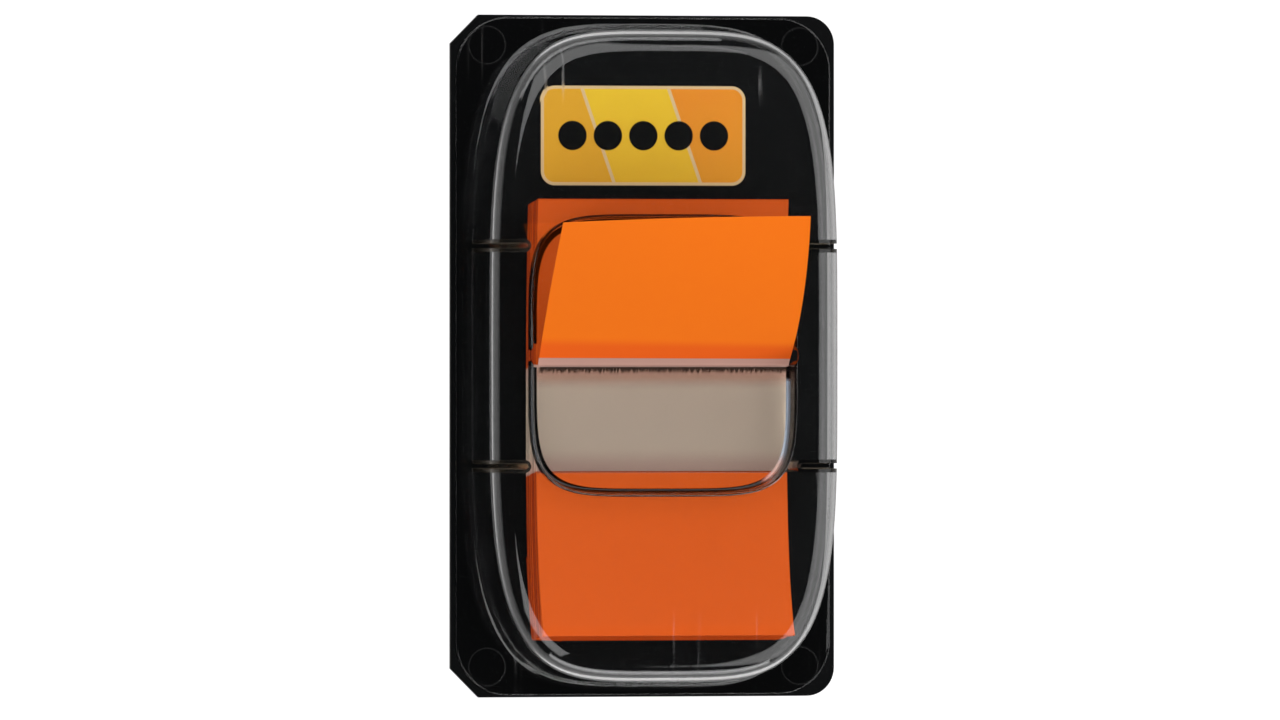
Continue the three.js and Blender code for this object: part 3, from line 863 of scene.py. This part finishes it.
def recess_light(finish, cover, x, y, z, steep):
    """Where the wall and the foot of the recess look dark, and where the foot catches the light.

    The foot is a ring of the recess's superellipse, moved a little aside: the power's root of the sum of
    the powers of the two parts is 1 on the outline. Only its lower right catches the light.
    """
    foot_shift = 0.2 * MM
    right = x.ramp(10.0 * MM, 11.6 * MM)
    box = rounded_box(x, y, cover.panel_half_width + MM, cover.panel_half_length + MM, 3 * MM)
    wall = steep * right * box.ramp(0.0, -0.2 * MM) * z.ramp(cover.panel_floor - MM, cover.panel_floor)
    out_x = (abs(x - foot_shift) / cover.panel_half_width) ** cover.panel_power
    out_y = (abs(y) / cover.panel_half_length) ** cover.panel_power
    ring = (out_x + out_y) ** (1 / cover.panel_power)
    low, high = cover.panel_floor - 0.8 * MM, cover.panel_floor + 0.5 * MM
    foot = ring.between(0.956, 0.999, 0.006) * z.between(low, high, 0.1 * MM)
    lit = foot * right * y.ramp(-2.0 * MM, -2.6 * MM) * ring.ramp(0.985, 0.98)
    return wall.most(foot * (1.0 - lit)), lit


def clear_material(cover, colours):
    """Clear formed sheet: refracting, with faint haze, scratches, guide ribs that carry a painted amber
    reflection of the orange films, painted shade and a painted highlight where the recess bends, and open to
    the light of the lamps."""
    finish = Finish("clear formed sheet", roughness=0.03)
    finish.feed("IOR", 1.5)
    x, y, z = finish.parts(finish.place)
    aside, above = abs(x), abs(y)
    steep = finish.upright().ramp(0.92, 0.72)
    scratch, mark = sheet_marks(finish, cover, aside, above, z)
    dark, lit = recess_light(finish, cover, x, y, z, steep)
    past_tip = aside.ramp(cover.rib_tip - 0.15 * MM, cover.rib_tip - 0.05 * MM)
    rib = abs(above - cover.rib_centre).ramp(0.62 * MM, 0.55 * MM) * steep * past_tip
    haze = finish.noise(scale=240.0, detail=4.0).ramp(0.4, 0.8)
    finish.feed("Roughness", mark * 0.22 + haze * 0.03 + rib * 0.17 + 0.02)
    finish.bump(finish.noise(scale=130.0, detail=1.0) + scratch * -0.3, strength=0.35, depth=0.05 * MM)
    shine = finish.blend(y.ramp(-9.4 * MM, -10.8 * MM), colours.cool_shine, colours.warm_shine)
    # Painted light in the sheet's colour: the amber reflection in the ribs, then the shade where the recess
    # bends.
    sheet_with_painted_light = finish.blend(rib, colours.sheet, colours.rib)
    # Painted shade where the recess bends.
    sheet_with_painted_light = finish.blend(dark, sheet_with_painted_light, colours.recess_shade)
    finish.feed("Base Color", finish.blend(lit, sheet_with_painted_light, shine))
    finish.feed("Transmission Weight", 1.0 - (mark * 0.035 + lit * 0.32))
    open_to_light = add(finish.tree, "BsdfTransparent", {"Color": (0.92, 0.92, 0.92)}).outputs[0]
    shadow = add(finish.tree, "LightPath").outputs["Is Shadow Ray"]
    mix = add(finish.tree, "MixShader", {0: shadow, 1: finish.shader.outputs[0], 2: open_to_light})
    fill(finish.tree, finish.tree.nodes["Material Output"].inputs["Surface"], mix.outputs[0])
    return finish.material


def film_material(name, sizes, colours, tip, near_slot, strip):
    """Film of a loose flag, laid out along its length: an opaque coloured end and a clear end.

    Where the length of a strip is given, painted shade of the lip darkens the colour near its end, the film
    is milky over the strip and pale past it, and a painted shadow of the slot's lip, a dark line with a
    ragged lower edge, follows the strip.
    """
    finish = Finish(name, roughness=0.55, specular=0.03)
    across, along = finish.film()
    past = (1.0 - along) * sizes.length - sizes.colour_length
    milk_end, clear_alpha = 1.1 * MM, 0.004
    body = finish.blend(past.ramp(milk_end - 0.05 * MM, milk_end + 0.05 * MM), colours.milk, colours.blush)
    ink, alpha = tip, clear_alpha
    if strip:
        # Painted shade of the lip: the coloured end darkens towards the slot.
        ink = finish.blend(past.ramp(-2.6 * MM, -1.2 * MM), tip, near_slot)
        milky = past.ramp(milk_end, 0.7 * MM) * 0.7 + clear_alpha
        pale = past.ramp(3.6 * MM, 1.2 * MM) * 0.42
        # Painted shadow of the slot's lip: a dark line with a ragged lower edge, just past the milky strip.
        ragged = add(finish.tree, "CombineXYZ", {0: across * 90.0}).outputs[0]
        teeth = finish.noise(scale=1.0, detail=6.0, roughness=0.9, at=ragged).ramp(0.4, 0.58)
        depth = teeth * (0.62 * MM) + 0.2 * MM
        below = past - strip
        line = below.ramp(0.0, 0.06 * MM) * (below - depth).ramp(0.04 * MM, -0.1 * MM)
        line = line * abs(across - 0.5).ramp(0.5, 0.49)
        # The dark line paints the lip's shadow into the film's colour.
        body = finish.blend(line, body, colours.glue)
        alpha = milky.most(pale).most(line * 0.95)
    ink = finish.blend(finish.noise(scale=700.0, detail=4.0) * 0.16, ink, near_slot)
    clear = past.ramp(-0.04 * MM, 0.04 * MM)
    finish.feed("Base Color", finish.blend(clear, ink, body))
    finish.feed("Alpha", (1.0 - clear).most(alpha))
    finish.bump(finish.noise(scale=260.0), strength=0.1, depth=0.05 * MM)
    return finish.material


def pad_material(sizes, colours):
    """Stack of films: coloured at both ends because they lie turned about, beige in the middle, pinkish
    where the two meet, and with a tone of its own on every film, which sets how much painted shade between
    the films darkens the cut sides."""
    finish = Finish("stack of film flags", roughness=0.55, specular=0.03)
    tone = Level(finish.tree, add(finish.tree, "Attribute", attribute_name="tone").outputs["Fac"])
    _, along = finish.film()
    soft = 0.12 * MM
    from_middle = abs(along - 0.5) * sizes.length + tone * soft
    edge = sizes.length / 2 - sizes.colour_length
    side = finish.upright().ramp(0.5, 0.3)
    orange = finish.blend(side, colours.pad_orange, colours.pad_side)
    beige = finish.blend(side, colours.pad_beige, colours.side_beige)
    beige = finish.blend(from_middle.ramp(edge - 2.4 * MM, edge) * 0.7, beige, colours.milk)
    body = finish.blend(from_middle.ramp(edge, edge + soft), beige, orange)
    # Painted shade between the films: the cut sides darken by each film's tone, and a faint random mottle
    # leans to the same colour.
    darker = finish.blend(0.45, body, colours.pad_gap)
    body = finish.blend(tone * side * 0.75, body, darker)
    body = finish.blend(finish.noise(scale=500.0, detail=4.0) * 0.12, body, darker)
    finish.feed("Base Color", body)
    finish.bump(finish.noise(scale=240.0), strength=0.1, depth=0.05 * MM)
    return finish.material


def liner_material(colours):
    """Plain board with fine fibres."""
    finish = Finish("liner board", roughness=0.8, specular=0.2)
    grain = finish.stretched(finish.place, (1.0, 0.25, 1.0))
    fibre = finish.noise(scale=1800.0, detail=4.0, roughness=0.7, at=grain)
    finish.feed("Base Color", finish.blend(fibre, colours.liner, colours.liner_fibre))
    finish.bump(fibre, strength=0.2, depth=0.02 * MM)
    return finish.material


def floor_material(studio):
    """Plain floor, paler to the left and below, that adds white of its own where the camera sees it, and
    some of it in gloss and through the clear sheet."""
    finish = Finish("pale floor", roughness=0.9, specular=0.0)
    x, y, _ = finish.parts(finish.place)
    right = x.ramp(-30 * MM, 30 * MM) * y.ramp(-40 * MM, -25 * MM)
    paper = right + finish.noise(scale=8.0) * 0.02
    finish.feed("Base Color", finish.blend(paper, studio.floor_pale, studio.floor_grey))
    paths = add(finish.tree, "LightPath").outputs
    seen, gloss, through = (
        Level(finish.tree, paths[f"Is {kind} Ray"]) for kind in ("Camera", "Glossy", "Transmission")
    )
    finish.feed("Emission Color", (1, 1, 1))
    finish.feed("Emission Strength", seen.most(gloss.most(through) * studio.floor_shine) * studio.floor_glow)
    return finish.material


# Stage


def add_lamp(name, brightness, place, size):
    """A rectangular lamp that faces the card. Its power is its brightness times pi times its area."""
    data = bpy.data.lights.new(name, "AREA")
    data.shape = "RECTANGLE"
    data.size, data.size_y = size
    data.energy = brightness * math.pi * size[0] * size[1]
    made = bpy.data.objects.new(name, data)
    bpy.context.scene.collection.objects.link(made)
    made.location = place
    made.rotation_mode = "QUATERNION"
    made.rotation_quaternion = (-Vector(place)).to_track_quat("-Z", "Y")


def around(azimuth, polar, away):
    """The place at an azimuth from +X and a polar angle from straight up, both in degrees."""
    azimuth, polar = math.radians(azimuth), math.radians(polar)
    flat = math.sin(polar) * away
    return (flat * math.cos(azimuth), flat * math.sin(azimuth), math.cos(polar) * away)


def build_stage(studio):
    """The camera at the photo's angle, the floor, the lamps and the dim room."""
    scene = bpy.context.scene
    data = bpy.data.cameras.new("camera")
    camera = bpy.data.objects.new("camera", data)
    scene.collection.objects.link(camera)
    back = Vector((-math.sin(studio.tilt), 0, math.cos(studio.tilt)))
    right = Vector((math.cos(studio.tilt), 0, math.sin(studio.tilt)))
    up = back.cross(right)
    stand = Vector((studio.centre_x, studio.centre_y, 0)) + back * studio.distance
    camera.matrix_world = Matrix((
        (right.x, up.x, back.x, stand.x),
        (right.y, up.y, back.y, stand.y),
        (right.z, up.z, back.z, stand.z),
        (0, 0, 0, 1),
    ))
    data.sensor_width = 36
    data.lens = data.sensor_width * studio.distance / studio.view_width
    data.clip_end = 10
    scene.camera = camera
    half = studio.floor_half
    corners = [(-half, -half, 0), (half, -half, 0), (half, half, 0), (-half, half, 0)]
    floor = new_object("floor", corners, [[0, 1, 2, 3]])
    floor.data.materials.append(floor_material(studio))
    add_lamp("side_lamp", studio.side_light, around(0, 51, 0.6), (1.5, 0.72))
    add_lamp("end_lamp", studio.end_light, around(109, 42, 0.7), (0.75, 0.66))
    add_lamp("low_lamp", studio.low_light, around(232, 40, 0.7), (0.5, 0.42))
    add_lamp("front_lamp", studio.front_light, around(275, 82, 0.75), (0.9, 0.2))
    add_lamp("back_lamp", studio.back_light, around(112, 83, 0.8), (1.3, 0.17))
    world = bpy.data.worlds.new("room")
    world.use_nodes = True
    background = world.node_tree.nodes["Background"].inputs
    background["Color"].default_value = (1, 1, 1, 1)
    background["Strength"].default_value = studio.room_light
    scene.world = world
    scene.view_settings.view_transform = "Standard"


# Operators and panel


class FLAGS_OT_card(bpy.types.Operator):
    """Build the backing card with its print"""

    bl_idname = "flags.card"
    bl_label = "Backing card"

    def execute(self, context):
        scene = context.scene
        mat = card_material(scene.card_sizes, scene.flag_colours)
        finish_piece(build_card(scene.card_sizes), "backing_card", mat, 30)
        return {"FINISHED"}


class FLAGS_OT_cover(bpy.types.Operator):
    """Build the clear formed cover"""

    bl_idname = "flags.cover"
    bl_label = "Clear cover"

    def execute(self, context):
        scene = context.scene
        mat = clear_material(scene.cover_sizes, scene.flag_colours)
        finish_piece(build_cover(scene.cover_sizes), "clear_cover", mat, 32)
        return {"FINISHED"}


class FLAGS_OT_pad(bpy.types.Operator):
    """Build the pad of film flags"""

    bl_idname = "flags.pad"
    bl_label = "Pad of flags"

    def execute(self, context):
        scene = context.scene
        mat = pad_material(scene.flag_sizes, scene.flag_colours)
        finish_piece(build_pad(scene.flag_sizes), "flag_pad", mat, 30)
        return {"FINISHED"}


class FLAGS_OT_loose_flags(bpy.types.Operator):
    """Build the front flag and the popped flag"""

    bl_idname = "flags.loose_flags"
    bl_label = "Loose flags"

    def execute(self, context):
        scene = context.scene
        sizes, pop, colours = scene.flag_sizes, scene.pop_sizes, scene.flag_colours
        front = film_material("front flag film", sizes, colours, colours.pad_orange, colours.pad_orange, 0.0)
        popped = film_material(
            "popped flag film", sizes, colours, colours.pop_orange, colours.pop_dark, pop.past_lip
        )
        finish_piece(build_next(sizes), "next_flag", front, 40)
        finish_piece(build_popped(sizes, pop, scene.cover_sizes), "popped_flag", popped, 40)
        return {"FINISHED"}


class FLAGS_OT_liner(bpy.types.Operator):
    """Give the liner board under the pad its finish"""

    bl_idname = "flags.liner"
    bl_label = "Liner board"

    def execute(self, context):
        if "pad_liner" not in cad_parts:
            raise RuntimeError("the packed model has no pad_liner")
        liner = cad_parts["pad_liner"]
        liner.data.materials.clear()
        liner.data.materials.append(liner_material(context.scene.flag_colours))
        return {"FINISHED"}


class FLAGS_OT_stage(bpy.types.Operator):
    """Set up the camera, the floor and the lamps"""

    bl_idname = "flags.stage"
    bl_label = "Stage"

    def execute(self, context):
        build_stage(context.scene.studio_settings)
        if context.scene.camera is None:
            raise RuntimeError("the scene has no camera")
        return {"FINISHED"}


class FLAGS_PT_panel(bpy.types.Panel):
    """Buttons for the pieces of the dispenser"""

    bl_idname = "FLAGS_PT_panel"
    bl_label = "Index flags"
    bl_space_type = "VIEW_3D"
    bl_region_type = "UI"
    bl_category = "Index flags"

    def draw(self, context):
        for operator in OPERATORS:
            self.layout.operator(operator.bl_idname)
        for name in GROUPS:
            box = self.layout.box()
            group = getattr(context.scene, name)
            for key in group.__annotations__:
                box.prop(group, key)


GROUPS = {
    "flag_sizes": FlagSizes,
    "pop_sizes": PopSizes,
    "cover_sizes": CoverSizes,
    "card_sizes": CardSizes,
    "flag_colours": FlagColours,
    "studio_settings": StudioSettings,
}
OPERATORS = (
    FLAGS_OT_card,
    FLAGS_OT_cover,
    FLAGS_OT_pad,
    FLAGS_OT_loose_flags,
    FLAGS_OT_liner,
    FLAGS_OT_stage,
)


def register():
    for cls in (*GROUPS.values(), *OPERATORS, FLAGS_PT_panel):
        bpy.utils.register_class(cls)
    for name, group in GROUPS.items():
        setattr(bpy.types.Scene, name, PointerProperty(type=group))


def unregister():
    for name in GROUPS:
        delattr(bpy.types.Scene, name)
    for cls in (FLAGS_PT_panel, *reversed(OPERATORS), *reversed(GROUPS.values())):
        bpy.utils.unregister_class(cls)


def main():
    """Builds every piece and the stage."""
    register()
    bpy.ops.flags.card()
    bpy.ops.flags.cover()
    bpy.ops.flags.pad()
    bpy.ops.flags.loose_flags()
    bpy.ops.flags.liner()
    bpy.ops.flags.stage()


if __name__ == "__main__":
    main()
